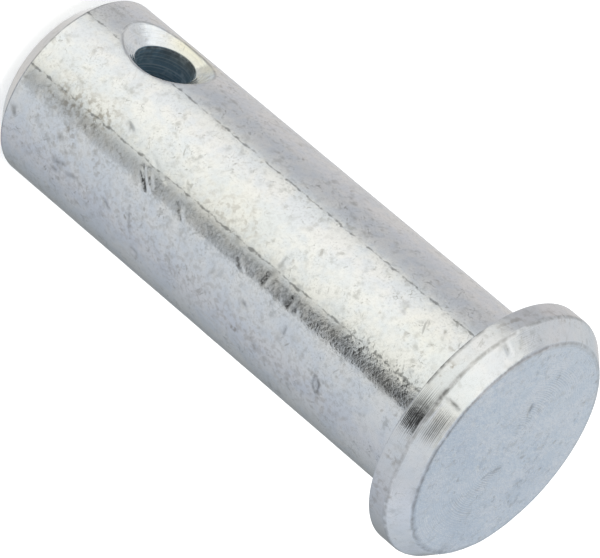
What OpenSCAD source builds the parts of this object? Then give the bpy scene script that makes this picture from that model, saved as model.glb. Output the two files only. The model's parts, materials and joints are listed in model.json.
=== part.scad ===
// Clevis pin: one turned and cross-drilled piece of zinc-plated steel.
// It stands on its tip, head up. The origin is the centre of the tip's end face.
// The cotter hole runs along Y.

/* [Shank] */
// Diameter of the shank
shank_d = 14; // [10:0.5:24]
// Length of the shank, from the seat under the head to the end of the tip
shank_len = 40; // [20:1:100]

/* [Head] */
// How far the head stands out past the shank, all round
head_lip = 2.5; // [1.5:0.1:5]
// Height of the head's straight rim
rim_h = 1.4; // [0.8:0.1:4]
// Width of the bevel round the head's face, across the face
bevel_w = 1.25; // [0.3:0.05:2.5]
// Height of the bevel round the head's face, along the axis
bevel_h = 1.4; // [0.3:0.1:2.5]
// Radius of the rounded edge between the rim and the seat
rim_edge_r = 0.25; // [0.1:0.05:0.5]
// Radius of the fillet between the shank and the seat
seat_fillet_r = 0.4; // [0.2:0.05:1]

/* [Tip] */
// Width of the tip's chamfer, across the end face
tip_chamfer_w = 1.35; // [0.5:0.05:2.5]
// Height of the tip's chamfer, along the axis
tip_chamfer_h = 1.35; // [0.5:0.05:2.5]

/* [Cotter hole] */
// Diameter of the cross hole that takes the cotter pin
hole_d = 4.1; // [2:0.1:5]
// Distance from the end of the tip to the middle of the hole
hole_setback = 7.3; // [6.5:0.1:12]
// Width of the countersink round each mouth of the hole, along the shank
countersink_w = 1.55; // [0.4:0.05:1.8]
// Included angle of the countersink, in degrees
countersink_angle = 110; // [82:1:120]

/* [Hidden] */
$fn = 96;

// How far a cut runs past the face that it opens
overrun = 0.5;

shank_r = shank_d / 2;
head_r = shank_r + head_lip;
tip_r = shank_r - tip_chamfer_w;
face_r = head_r - bevel_w;
seat_z = shank_len;
bevel_z = seat_z + rim_h;
face_z = bevel_z + bevel_h;
hole_r = hole_d / 2;
countersink_slope = tan(countersink_angle / 2);
countersink_depth = countersink_w / countersink_slope;

// Half section of the blank with sharp corners: radius along X, height along Y
module sharp_section() {
    polygon([
        [0, 0],
        [tip_r, 0],
        [shank_r, tip_chamfer_h],
        [shank_r, seat_z],
        [head_r, seat_z],
        [head_r, bevel_z],
        [face_r, face_z],
        [0, face_z],
    ]);
}

// A square corner with a quarter circle left out of it: the fillet's material, or the waste of a rounded edge
module corner_left_by_arc(r) {
    difference() {
        square(r);
        translate([r, r]) circle(r);
    }
}

// Half section with the fillet under the head and the rim's rounded edge
module turned_section() {
    difference() {
        union() {
            sharp_section();
            translate([shank_r, seat_z]) mirror([0, 1]) corner_left_by_arc(seat_fillet_r);
        }
        translate([head_r, seat_z]) mirror([1, 0]) corner_left_by_arc(rim_edge_r);
    }
}

// One mouth's countersink, with the hole along Z and the mouth at the top of the shank
module countersink() {
    translate([0, 0, shank_r - countersink_depth])
        cylinder(
            h = countersink_depth + overrun,
            r1 = hole_r,
            r2 = hole_r + countersink_w + overrun * countersink_slope
        );
}

// The drill and both countersinks, along Y through the shank's axis
module cotter_hole() {
    translate([0, 0, hole_setback]) rotate([90, 0, 0]) {
        cylinder(h = shank_d + 2 * overrun, r = hole_r, center = true);
        countersink();
        mirror([0, 0, 1]) countersink();
    }
}

// The whole pin, turned from bar and then cross-drilled
module clevis_pin() {
    color("lightsteelblue") difference() {
        rotate_extrude() turned_section();
        cotter_hole();
    }
}

clevis_pin();
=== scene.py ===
"""A clevis pin of zinc-plated steel, standing on its tip in a light tent.

The pin is one closed mesh, worked out as grids of points: a turned body, whose profile is carried round
the pin's axis, and a cotter hole, whose profile is carried round the hole. Sizes are in millimetres in
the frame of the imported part, and the meshes are written in metres.
"""

import json
import logging
import math
from dataclasses import dataclass
from enum import Enum
from typing import Any

import bpy
import numpy as np
from mathutils import Matrix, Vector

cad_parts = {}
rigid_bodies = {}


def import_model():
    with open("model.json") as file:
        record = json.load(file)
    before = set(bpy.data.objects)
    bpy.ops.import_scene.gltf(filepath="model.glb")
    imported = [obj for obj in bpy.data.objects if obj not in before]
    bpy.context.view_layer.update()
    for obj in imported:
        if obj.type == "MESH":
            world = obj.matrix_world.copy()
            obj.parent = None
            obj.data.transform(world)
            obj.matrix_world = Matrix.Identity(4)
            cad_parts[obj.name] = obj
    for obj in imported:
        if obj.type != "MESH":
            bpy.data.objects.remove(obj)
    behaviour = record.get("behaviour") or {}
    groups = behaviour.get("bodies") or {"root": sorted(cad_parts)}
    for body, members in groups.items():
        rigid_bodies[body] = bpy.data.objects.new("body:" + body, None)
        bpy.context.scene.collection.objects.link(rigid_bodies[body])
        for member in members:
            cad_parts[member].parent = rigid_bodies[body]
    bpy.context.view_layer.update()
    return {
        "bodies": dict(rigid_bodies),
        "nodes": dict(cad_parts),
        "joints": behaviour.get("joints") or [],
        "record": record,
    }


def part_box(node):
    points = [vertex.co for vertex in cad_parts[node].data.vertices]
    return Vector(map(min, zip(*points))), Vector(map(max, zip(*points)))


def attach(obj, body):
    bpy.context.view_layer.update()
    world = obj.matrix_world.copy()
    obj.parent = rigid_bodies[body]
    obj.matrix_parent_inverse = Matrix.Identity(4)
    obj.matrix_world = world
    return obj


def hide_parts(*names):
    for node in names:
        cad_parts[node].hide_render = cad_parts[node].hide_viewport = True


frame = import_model()

LOG = logging.getLogger("clevis_pin")
METRES_PER_MM = 0.001
METRES_PER_MICROMETRE = 1e-6
SEED = 14

Array = np.ndarray
Colour = tuple[float, float, float]
Pixel = tuple[float, float]
Value = Any


def linked(name: str, data: bpy.types.ID) -> bpy.types.Object:
    """Makes an object and links it to the scene.

    Args:
        name: Name of the object.
        data: Its mesh, light or camera.

    Returns:
        The object.
    """
    thing = bpy.data.objects.new(name, data)
    bpy.context.scene.collection.objects.link(thing)
    return thing


def smooth_mesh(name: str, points: Array, faces: list[list[int]]) -> bpy.types.Mesh:
    """Makes a mesh that is shaded smooth.

    Args:
        name: Name of the mesh.
        points: Its points in metres, as (count, 3).
        faces: The numbers of each face's points.

    Returns:
        The mesh.
    """
    mesh = bpy.data.meshes.new(name)
    mesh.from_pydata(points.tolist(), [], faces)
    mesh.polygons.foreach_set("use_smooth", np.ones(len(faces), bool))
    return mesh


class Zone(Enum):
    """The finishes on the pin, in the order of its material slots."""

    SHANK = 0
    TURNED = 1
    FACE = 2
    COUNTERSINK = 3
    BORE = 4


class Skin(Enum):
    """The surfaces of the pin that a mark can lie on."""

    SHANK = "shank"
    RIM = "rim"
    BEVEL = "bevel"
    FACE = "face"


class MarkKind(Enum):
    """What a mark does to the surface under it."""

    DENT = "dent"
    STAIN = "stain"
    # Rubbed strokes in the relief, with dark strokes painted into the colour: painted reflection where the
    # pin mirrors a dark band.
    SCUFF_AND_REFLECTION = "scuff"
    TINT = "tint"
    # Dark scratches, and broad darkening painted where the pin mirrors a dark band: painted reflection.
    SCORE_AND_REFLECTION = "score_and_reflection"


@dataclass(frozen=True)
class PinSizes:
    """The pin's sizes in millimetres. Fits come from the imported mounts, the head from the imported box.

    Attributes:
        shank_r: Radius of the shank.
        head_r: Radius of the head.
        seat_z: Height of the seat under the head.
        face_z: Height of the head's face.
        hole_r: Radius of the cotter hole.
        hole_z: Height of the cotter hole's axis.
        bore_half: Half the length of the hole's straight bore.
        rim_h: Height of the head's straight rim.
        bevel_w: Width of the head's bevel.
        tip_chamfer: Width and height of the tip's chamfer.
        seat_fillet: Reach of the fillet under the head.
        rim_edge: Reach of the rounded edge between the rim and the seat.
        countersink_deg: Included angle of the countersinks.
    """

    shank_r: float
    head_r: float
    seat_z: float
    face_z: float
    hole_r: float
    hole_z: float
    bore_half: float
    rim_h: float = 1.4
    bevel_w: float = 1.25
    tip_chamfer: float = 1.35
    seat_fillet: float = 0.4
    rim_edge: float = 0.12
    countersink_deg: float = 110.0

    @classmethod
    def from_frame(cls, packed: dict[str, Any]) -> "PinSizes":
        """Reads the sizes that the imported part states.


        Returns:
            The pin's sizes.
        """
        mounts = {mount["name"]: mount for mount in packed["record"]["mounts"]}
        low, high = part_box("clevis_pin")
        hole = mounts["cotter_hole"]
        return cls(
            shank_r=mounts["shank"]["dims"]["r_mm"],
            head_r=min(high.x, high.y, -low.x, -low.y) / METRES_PER_MM,
            seat_z=mounts["head_seat"]["pos_m"][2] / METRES_PER_MM,
            face_z=high.z / METRES_PER_MM,
            hole_r=hole["dims"]["r_mm"],
            hole_z=hole["pos_m"][2] / METRES_PER_MM,
            bore_half=hole["dims"]["length_mm"] / 2,
        )

    @property
    def bevel_z(self) -> float:
        """Height of the edge between the rim and the bevel."""
        return self.seat_z + self.rim_h

    @property
    def face_r(self) -> float:
        """Radius of the head's flat face."""
        return self.head_r - self.bevel_w

    def meet(self, skin: Skin, origin: Array, direction: Array) -> Array:
        """Finds where a ray first meets one of the pin's surfaces.

        A turned wall has the radius r + k (z - h), so x^2 + y^2 = (r + k (z - h))^2 is a quadratic in the
        ray's length. The face is the plane z = face_z.

        Args:
            skin: The surface.
            origin: Start of the ray.
            direction: Direction of the ray.

        Returns:
            The point on the surface.
        """
        if skin is Skin.FACE:
            return origin + direction * ((self.face_z - origin[2]) / direction[2])
        slope = -self.bevel_w / (self.face_z - self.bevel_z) if skin is Skin.BEVEL else 0.0
        radius = self.shank_r if skin is Skin.SHANK else self.head_r
        wall = radius + slope * (origin[2] - self.bevel_z)
        a = direction[0] ** 2 + direction[1] ** 2 - (slope * direction[2]) ** 2
        b = origin[0] * direction[0] + origin[1] * direction[1] - slope * direction[2] * wall
        c = origin[0] ** 2 + origin[1] ** 2 - wall**2
        return origin + direction * ((-b - math.sqrt(max(b * b - a * c, 0.0))) / a)


@dataclass(frozen=True)
class PhotoView:
    """The photograph's viewpoint on the standing pin.

    Attributes:
        azimuth_deg: Direction of the camera round the pin, from -Y towards +X.
        elevation_deg: Height of the camera above the horizon.
        roll_deg: Turn of the picture about the line of sight.
        distance: From the aim to the camera, in millimetres.
        aim: The point at the middle of the picture, in millimetres.
        lens: Focal length, in millimetres.
        sensor: Width of the sensor, in millimetres.
        picture: Width and height of the picture, in pixels.
        clip: The nearest and farthest distance that the camera sees, in metres.
    """

    azimuth_deg: float = 53.94
    elevation_deg: float = 27.56
    roll_deg: float = 130.26
    distance: float = 402.0
    aim: tuple[float, float, float] = (-0.5, 0.66, 23.07)
    lens: float = 367.3
    sensor: float = 36.0
    picture: tuple[int, int] = (600, 558)
    clip: tuple[float, float] = (0.01, 20.0)

    def level(self) -> Array:
        """The horizontal direction to the right of an unrolled camera."""
        azimuth = math.radians(self.azimuth_deg)
        return np.array([math.cos(azimuth), math.sin(azimuth), 0.0])

    def towards(self) -> Array:
        """The horizontal direction from the pin to the camera."""
        azimuth = math.radians(self.azimuth_deg)
        return np.array([math.sin(azimuth), -math.cos(azimuth), 0.0])

    def axes(self) -> tuple[Array, Array, Array]:
        """Works out the camera's axes.

        Returns:
            The directions to the right, up and back, as unit vectors.
        """
        elevation, roll = math.radians(self.elevation_deg), math.radians(self.roll_deg)
        back = self.towards() * math.cos(elevation) + np.array([0.0, 0.0, math.sin(elevation)])
        level = self.level()
        rise = np.cross(back, level)
        right = level * math.cos(roll) + rise * math.sin(roll)
        return right, np.cross(back, right), back

    def place(self) -> Array:
        """The camera's place, in millimetres."""
        return np.array(self.aim) + self.axes()[2] * self.distance

    def ray(self, pixel: Pixel) -> Array:
        """Works out the direction in which a pixel of the photograph looks.

        Args:
            pixel: Column and row, from the upper left corner.

        Returns:
            The direction, not of unit length.
        """
        right, up, back = self.axes()
        width, height = self.picture
        focal = self.lens / self.sensor * width
        return right * (pixel[0] - width / 2) - up * (pixel[1] - height / 2) - back * focal

    def build(self) -> bpy.types.Object:
        """Makes the camera and hands it to the scene.

        Returns:
            The camera's object.
        """
        right, up, back = self.axes()
        lens = bpy.data.cameras.new("photo_camera")
        lens.lens = self.lens
        lens.sensor_width = self.sensor
        lens.clip_start, lens.clip_end = self.clip
        camera = linked("photo_camera", lens)
        turn = Matrix(np.stack([right, up, back], axis=1).tolist()).to_4x4()
        camera.matrix_world = Matrix.Translation(self.place() * METRES_PER_MM) @ turn
        bpy.context.scene.camera = camera
        return camera


@dataclass(frozen=True)
class Corner:
    """A corner of a profile that is carried along a path.

    Attributes:
        points: The corner at each place along the path, as (places, 3).
        zone: The finish from this corner to the next.
        steps: Rows of faces from this corner's rounding to the next one's.
        ease: How far the rounding reaches to each side.
        turns: Rows of points inside the rounding.
        worn: How dark the line along the edge is, from 0 to 1: wear on the pin's edges, and painted shade
            at the bore's edge.
        spread: Rows after the rounding over which the wear fades out.
    """

    points: Array
    zone: Zone
    steps: int = 1
    ease: float = 0.0
    turns: int = 3
    worn: float = 0.0
    spread: int = 0


@dataclass
class Rows:
    """Rows of points that follow a profile, each going once round a path.

    Attributes:
        points: The points, as (rows, places, 3).
        edge: The darkness of the edge line on each row, from 0 to 1: wear, and painted shade at the bore's
            edge.
        zones: The finish between each row and the next.
    """

    points: Array
    edge: Array
    zones: Array

    def run(self) -> Array:
        """The distance along the profile to each point."""
        steps = np.linalg.norm(np.diff(self.points, axis=0), axis=2)
        return np.concatenate([np.zeros_like(steps[:1]), np.cumsum(steps, axis=0)])


def moved(points: Array, goal: Array, distance: float) -> Array:
    """Moves points towards others by a distance along straight lines.

    Args:
        points: The points to move.
        goal: Where each of them is going.
        distance: How far each goes.

    Returns:
        The moved points.
    """
    way = goal - points
    return points + way * (distance / np.linalg.norm(way, axis=-1, keepdims=True))


def straight(start: Array, stop: Array, steps: int) -> Array:
    """Rows from start to stop in even steps: start + (stop - start) t."""
    t = np.linspace(0.0, 1.0, steps + 1)[:, None, None]
    return start + (stop - start) * t


def eased(start: Array, corner: Array, stop: Array, turns: int) -> Array:
    """Rows inside a rounding: the quadratic curve (1-t)^2 start + 2t(1-t) corner + t^2 stop."""
    t = np.linspace(0.0, 1.0, turns + 2)[1:-1, None, None]
    return (1 - t) ** 2 * start + 2 * t * (1 - t) * corner + t**2 * stop


def carry(corners: list[Corner]) -> Rows:
    """Carries a profile along a path.

    Between two corners the rows are straight, and round an inner corner they follow its quadratic curve.
    The edge line on a rounding (wear, and painted shade at the bore's edge) is half a sine wave across it,
    and what spreads past it fades evenly.

    Args:
        corners: The profile's corners in order, each along the whole path.

    Returns:
        The rows of points.
    """
    points, edge, zones = [], [], []
    for index, here in enumerate(corners[:-1]):
        there = corners[index + 1]
        stop = moved(there.points, here.points, there.ease)
        points.append(straight(moved(here.points, there.points, here.ease), stop, here.steps))
        fade = 1 - np.arange(1, here.steps + 2) / (here.spread + 1)
        edge += (here.worn * np.clip(fade, 0.0, 1.0)).tolist()
        zones += [here.zone.value] * here.steps
        if index + 2 < len(corners):
            after = moved(there.points, corners[index + 2].points, there.ease)
            points.append(eased(stop, there.points, after, there.turns))
            way = np.arange(1, there.turns + 1) / (there.turns + 1)
            edge += (there.worn * np.sin(math.pi * way)).tolist()
            zones += [there.zone.value] * (there.turns + 1)
    return Rows(np.concatenate(points), np.array(edge), np.array(zones))


def faces_between(ids: Array) -> Array:
    """Joins rows of point numbers, each closed on itself, into four-sided faces.

    Args:
        ids: Point numbers, as (rows, places).

    Returns:
        The faces, as (rows - 1, places, 4).
    """
    following = np.roll(ids, -1, axis=1)
    return np.stack([ids[:-1], following[:-1], following[1:], ids[1:]], axis=-1)


def harmonics(angle: Array, orders: range, reach: float, rng: np.random.Generator) -> Array:
    """A closed wobble: the sum over whole orders n of sin(n angle + phase), scaled to a given reach.

    Args:
        angle: Where the wobble is wanted, in radians.
        orders: The whole numbers of waves in a turn.
        reach: Root mean square of the wobble.
        rng: The random generator that draws the phases and weights.

    Returns:
        The wobble at each angle.
    """
    order = np.array(list(orders), float)
    phase = rng.uniform(0.0, 2 * math.pi, len(order))
    weight = rng.normal(0.0, 1.0, len(order)) / order
    wave = (weight * np.sin(angle[:, None] * order + phase)).sum(axis=1)
    return wave * reach / wave.std()


@dataclass
class TurnedBody:
    """The turned pin without its hole: a profile carried round the axis.

    Attributes:
        sizes: The pin's sizes.
        columns: Places round the axis.
        crowding: How much closer the places stand towards +X, where the marks are, than evenly.
        pole_r: Radius of the innermost ring on each end.
        shank_steps: Rows of faces along the shank.
        tip_ease: Rounding of the tip's two edges.
        rim_ease: Rounding between the rim and the bevel.
        face_ease: Rounding between the bevel and the face.
        rim_rise: How far the rim's upper edge stands above its nominal height.
        face_grow: How far the face's edge lies outside its nominal radius.
        face_lean: How far the face's middle lies off the axis.
        lean_deg: Direction in which it does, away from the camera, from +X towards +Y.
        rim_wobble: How far the rim's upper edge wanders along the axis, where the places stand closest.
        rim_orders: Waves in a turn that make up that wandering.
        face_wobble: How far the face's edge wanders across the face, where the places stand closest.
        face_orders: Waves in a turn that make up that wandering.
        margin: Share of the bevel, at each of its edges, that follows their wandering.
        kink_ease: Rounding where the margins meet the rest of the bevel.
    """

    sizes: PinSizes
    columns: int = 256
    crowding: float = 0.35
    pole_r: float = 0.12
    shank_steps: int = 212
    tip_ease: float = 0.10
    rim_ease: float = 0.20
    face_ease: float = 0.20
    rim_rise: float = 0.11
    face_grow: float = 0.06
    face_lean: float = 0.13
    lean_deg: float = 143.94
    rim_wobble: float = 0.035
    rim_orders: range = range(4, 90)
    face_wobble: float = 0.05
    face_orders: range = range(6, 110)
    margin: float = 0.2
    kink_ease: float = 0.02

    def angles(self) -> Array:
        """The angle of each place round the axis: u - c sin u, for even steps u and the crowding c."""
        even = np.arange(self.columns) * (2 * math.pi / self.columns)
        return even - self.crowding * np.sin(even)

    def ring(self, radius: Array | float, height: Array | float) -> Array:
        """Points at a radius and a height: (r cos a, r sin a, z)."""
        angle = self.angles()
        return np.stack([radius * np.cos(angle), radius * np.sin(angle), height + 0 * angle], axis=-1)

    def build(self, rng: np.random.Generator) -> Rows:
        """Carries the profile from the middle of the tip to the middle of the head's face.

        Args:
            rng: The random generator for the edges' wobble.

        Returns:
            The rows of the body, without the middle points of its two ends.
        """
        s = self.sizes
        angle = self.angles()
        level = s.bevel_z + self.rim_rise
        finely = 0.5 + 0.5 * np.cos(angle)
        rim_z = level + harmonics(angle, self.rim_orders, self.rim_wobble, rng) * finely
        face = s.face_r + self.face_grow + self.face_lean * np.cos(angle - math.radians(self.lean_deg))
        face_r = face + harmonics(angle, self.face_orders, self.face_wobble, rng) * finely
        turned = Zone.TURNED
        low_z = level + (s.face_z - level) * self.margin
        high_z = s.face_z - (s.face_z - level) * self.margin
        inset = (s.head_r - face) * self.margin
        low = self.ring(s.head_r - inset, low_z)
        high = self.ring(face + inset, high_z)
        return carry(
            [
                Corner(self.ring(self.pole_r, 0.0), turned, steps=8),
                Corner(self.ring(s.shank_r - s.tip_chamfer, 0.0), turned, steps=7, ease=self.tip_ease),
                Corner(
                    self.ring(s.shank_r, s.tip_chamfer),
                    Zone.SHANK,
                    steps=self.shank_steps,
                    ease=self.tip_ease,
                    worn=1.0,
                ),
                Corner(self.ring(s.shank_r, s.seat_z), turned, steps=8, ease=s.seat_fillet, turns=5),
                Corner(
                    self.ring(s.head_r, s.seat_z), turned, steps=6, ease=s.rim_edge, turns=4, worn=0.15
                ),
                Corner(
                    self.ring(s.head_r, rim_z), turned, steps=2, ease=self.rim_ease, turns=5, worn=0.8
                ),
                Corner(low, turned, steps=8, ease=self.kink_ease, turns=0),
                Corner(high, turned, steps=2, ease=self.kink_ease, turns=0),
                Corner(
                    self.ring(face_r, s.face_z),
                    Zone.FACE,
                    steps=58,
                    ease=self.face_ease,
                    turns=5,
                    worn=0.7,
                    spread=1,
                ),
                Corner(self.ring(self.pole_r, s.face_z), Zone.FACE),
            ]
        )


@dataclass
class CotterHole:
    """The countersunk cross hole: a profile carried round the hole, from one mouth to the other.

    Attributes:
        sizes: The pin's sizes.
        window: Half the size of the square that is cut out of the shank round each mouth.
        mouth_ease: Rounding between the shank and the countersink.
        bore_ease: Rounding between the countersink and the bore.
    """

    sizes: PinSizes
    window: float = 4.4
    mouth_ease: float = 0.15
    bore_ease: float = 0.13

    def span(self, heights: Array, angles: Array) -> tuple[int, int, int, int]:
        """Finds the bounds of the window at -Y on the turned body's rows and columns.

        Args:
            heights: Height of each row of the turned body.
            angles: Angle of each column of the turned body.

        Returns:
            The lowest row, the highest row, the first column and the last column.
        """
        reach = self.window / self.sizes.shank_r
        low = int(np.abs(heights - (self.sizes.hole_z - self.window)).argmin())
        high = int(np.abs(heights - (self.sizes.hole_z + self.window)).argmin())
        first = int(np.abs(angles - (1.5 * math.pi - reach)).argmin())
        return low, high, first, int(np.abs(angles - (1.5 * math.pi + reach)).argmin())

    @staticmethod
    def rectangle(low: int, high: int, first: int, last: int) -> tuple[Array, Array]:
        """Walks once round a rectangle of rows and columns, anticlockwise from its lower left corner.

        Args:
            low: The lowest row.
            high: The highest row.
            first: The first column.
            last: The last column.

        Returns:
            The row and the column at each step.
        """
        across, up = np.arange(first, last), np.arange(low, high)
        rows = np.concatenate([0 * across + low, up, 0 * across + high, up[::-1] + 1])
        return rows, np.concatenate([across, 0 * up + last, across[::-1] + 1, 0 * up + first])

    def mouth_r(self, angle: Array) -> Array:
        """The countersink's radius where its cone meets the shank.

        With the cone y = y0 + p / m, where p is the distance from the hole's axis, the shank's wall
        x^2 + y^2 = r^2 at x = p cos a gives p^2 (1/m^2 + cos^2 a) + 2 p y0 / m + y0^2 - r^2 = 0.

        Args:
            angle: Angles round the hole.

        Returns:
            The radius at each angle.
        """
        s = self.sizes
        m = math.tan(math.radians(s.countersink_deg / 2))
        y0 = s.bore_half - s.hole_r / m
        a = 1 / m**2 + np.cos(angle) ** 2
        b = y0 / m
        return (-b + np.sqrt(b * b - a * (y0**2 - s.shank_r**2))) / a

    def build(self, rim: Array) -> Rows:
        """Carries the hole's profile from the window at -Y, through the pin, to the window at +Y.

        Args:
            rim: The points round the window at -Y, as (places, 3).

        Returns:
            The rows of the hole, with both windows' own points as the first and last row.
        """
        s = self.sizes
        arc = s.shank_r * np.arctan2(rim[:, 0], -rim[:, 1])
        angle = np.arctan2(rim[:, 2] - s.hole_z, arc)
        mouth_r = self.mouth_r(angle)
        x, rise = mouth_r * np.cos(angle), mouth_r * np.sin(angle)
        mouth = np.stack([x, -np.sqrt(s.shank_r**2 - x**2), s.hole_z + rise], axis=-1)
        x, rise = s.hole_r * np.cos(angle), s.hole_r * np.sin(angle)
        edge = np.stack([x, 0 * angle - s.bore_half, s.hole_z + rise], axis=-1)
        flip = np.array([1.0, -1.0, 1.0])
        around, cone, bore = 9, 8, 18
        rows = carry(
            [
                Corner(rim, Zone.SHANK, around),
                Corner(mouth, Zone.COUNTERSINK, cone, self.mouth_ease, worn=0.55),
                # Painted shade: the bore's near-black line along this edge, fading two rows into the bore.
                Corner(edge, Zone.BORE, bore, self.bore_ease, worn=1.0, spread=2),
                Corner(edge * flip, Zone.COUNTERSINK, cone, self.bore_ease, worn=0.9),
                Corner(mouth * flip, Zone.SHANK, around, self.mouth_ease, worn=0.55),
                Corner(rim * flip, Zone.SHANK),
            ]
        )
        on_wall = np.r_[0 : around + 1, -around - 1 : 0]
        wall = rows.points[on_wall, :, :2]
        rows.points[on_wall, :, :2] = wall * (s.shank_r / np.linalg.norm(wall, axis=-1, keepdims=True))
        return rows


@dataclass(frozen=True)
class Mark:
    """A mark along a line between two pixels of the photograph: dents, stains, tints, scuffs and scores,
    some of them painted reflection.

    Attributes:
        kind: What the mark does.
        skin: The surface that it lies on.
        start: Pixel where it starts.
        end: Pixel where it ends.
        reach: How far it reaches from its line, in millimetres.
        amount: Its depth in millimetres, or its strength from 0 to 1.
    """

    kind: MarkKind
    skin: Skin
    start: Pixel
    end: Pixel
    reach: float
    amount: float


def closeness(points: Array, start: Array, end: Array, reach: float) -> Array:
    """The squared distance of points from a line between two ends, in units of a reach.

    Args:
        points: The points, as (count, 3).
        start: One end of the line.
        end: The other end.
        reach: The unit.

    Returns:
        The squared distance at each point.
    """
    way = end - start
    least_square = 1e-9
    t = np.clip((points - start) @ way / max(float(way @ way), least_square), 0.0, 1.0)
    gap = points - start - t[:, None] * way
    return np.einsum("ij,ij->i", gap, gap) / reach**2


DENT, STAIN, SCUFF_AND_REFLECTION, TINT, SCORE_AND_REFLECTION = MarkKind
SHANK, RIM, BEVEL, FACE = Skin

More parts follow.
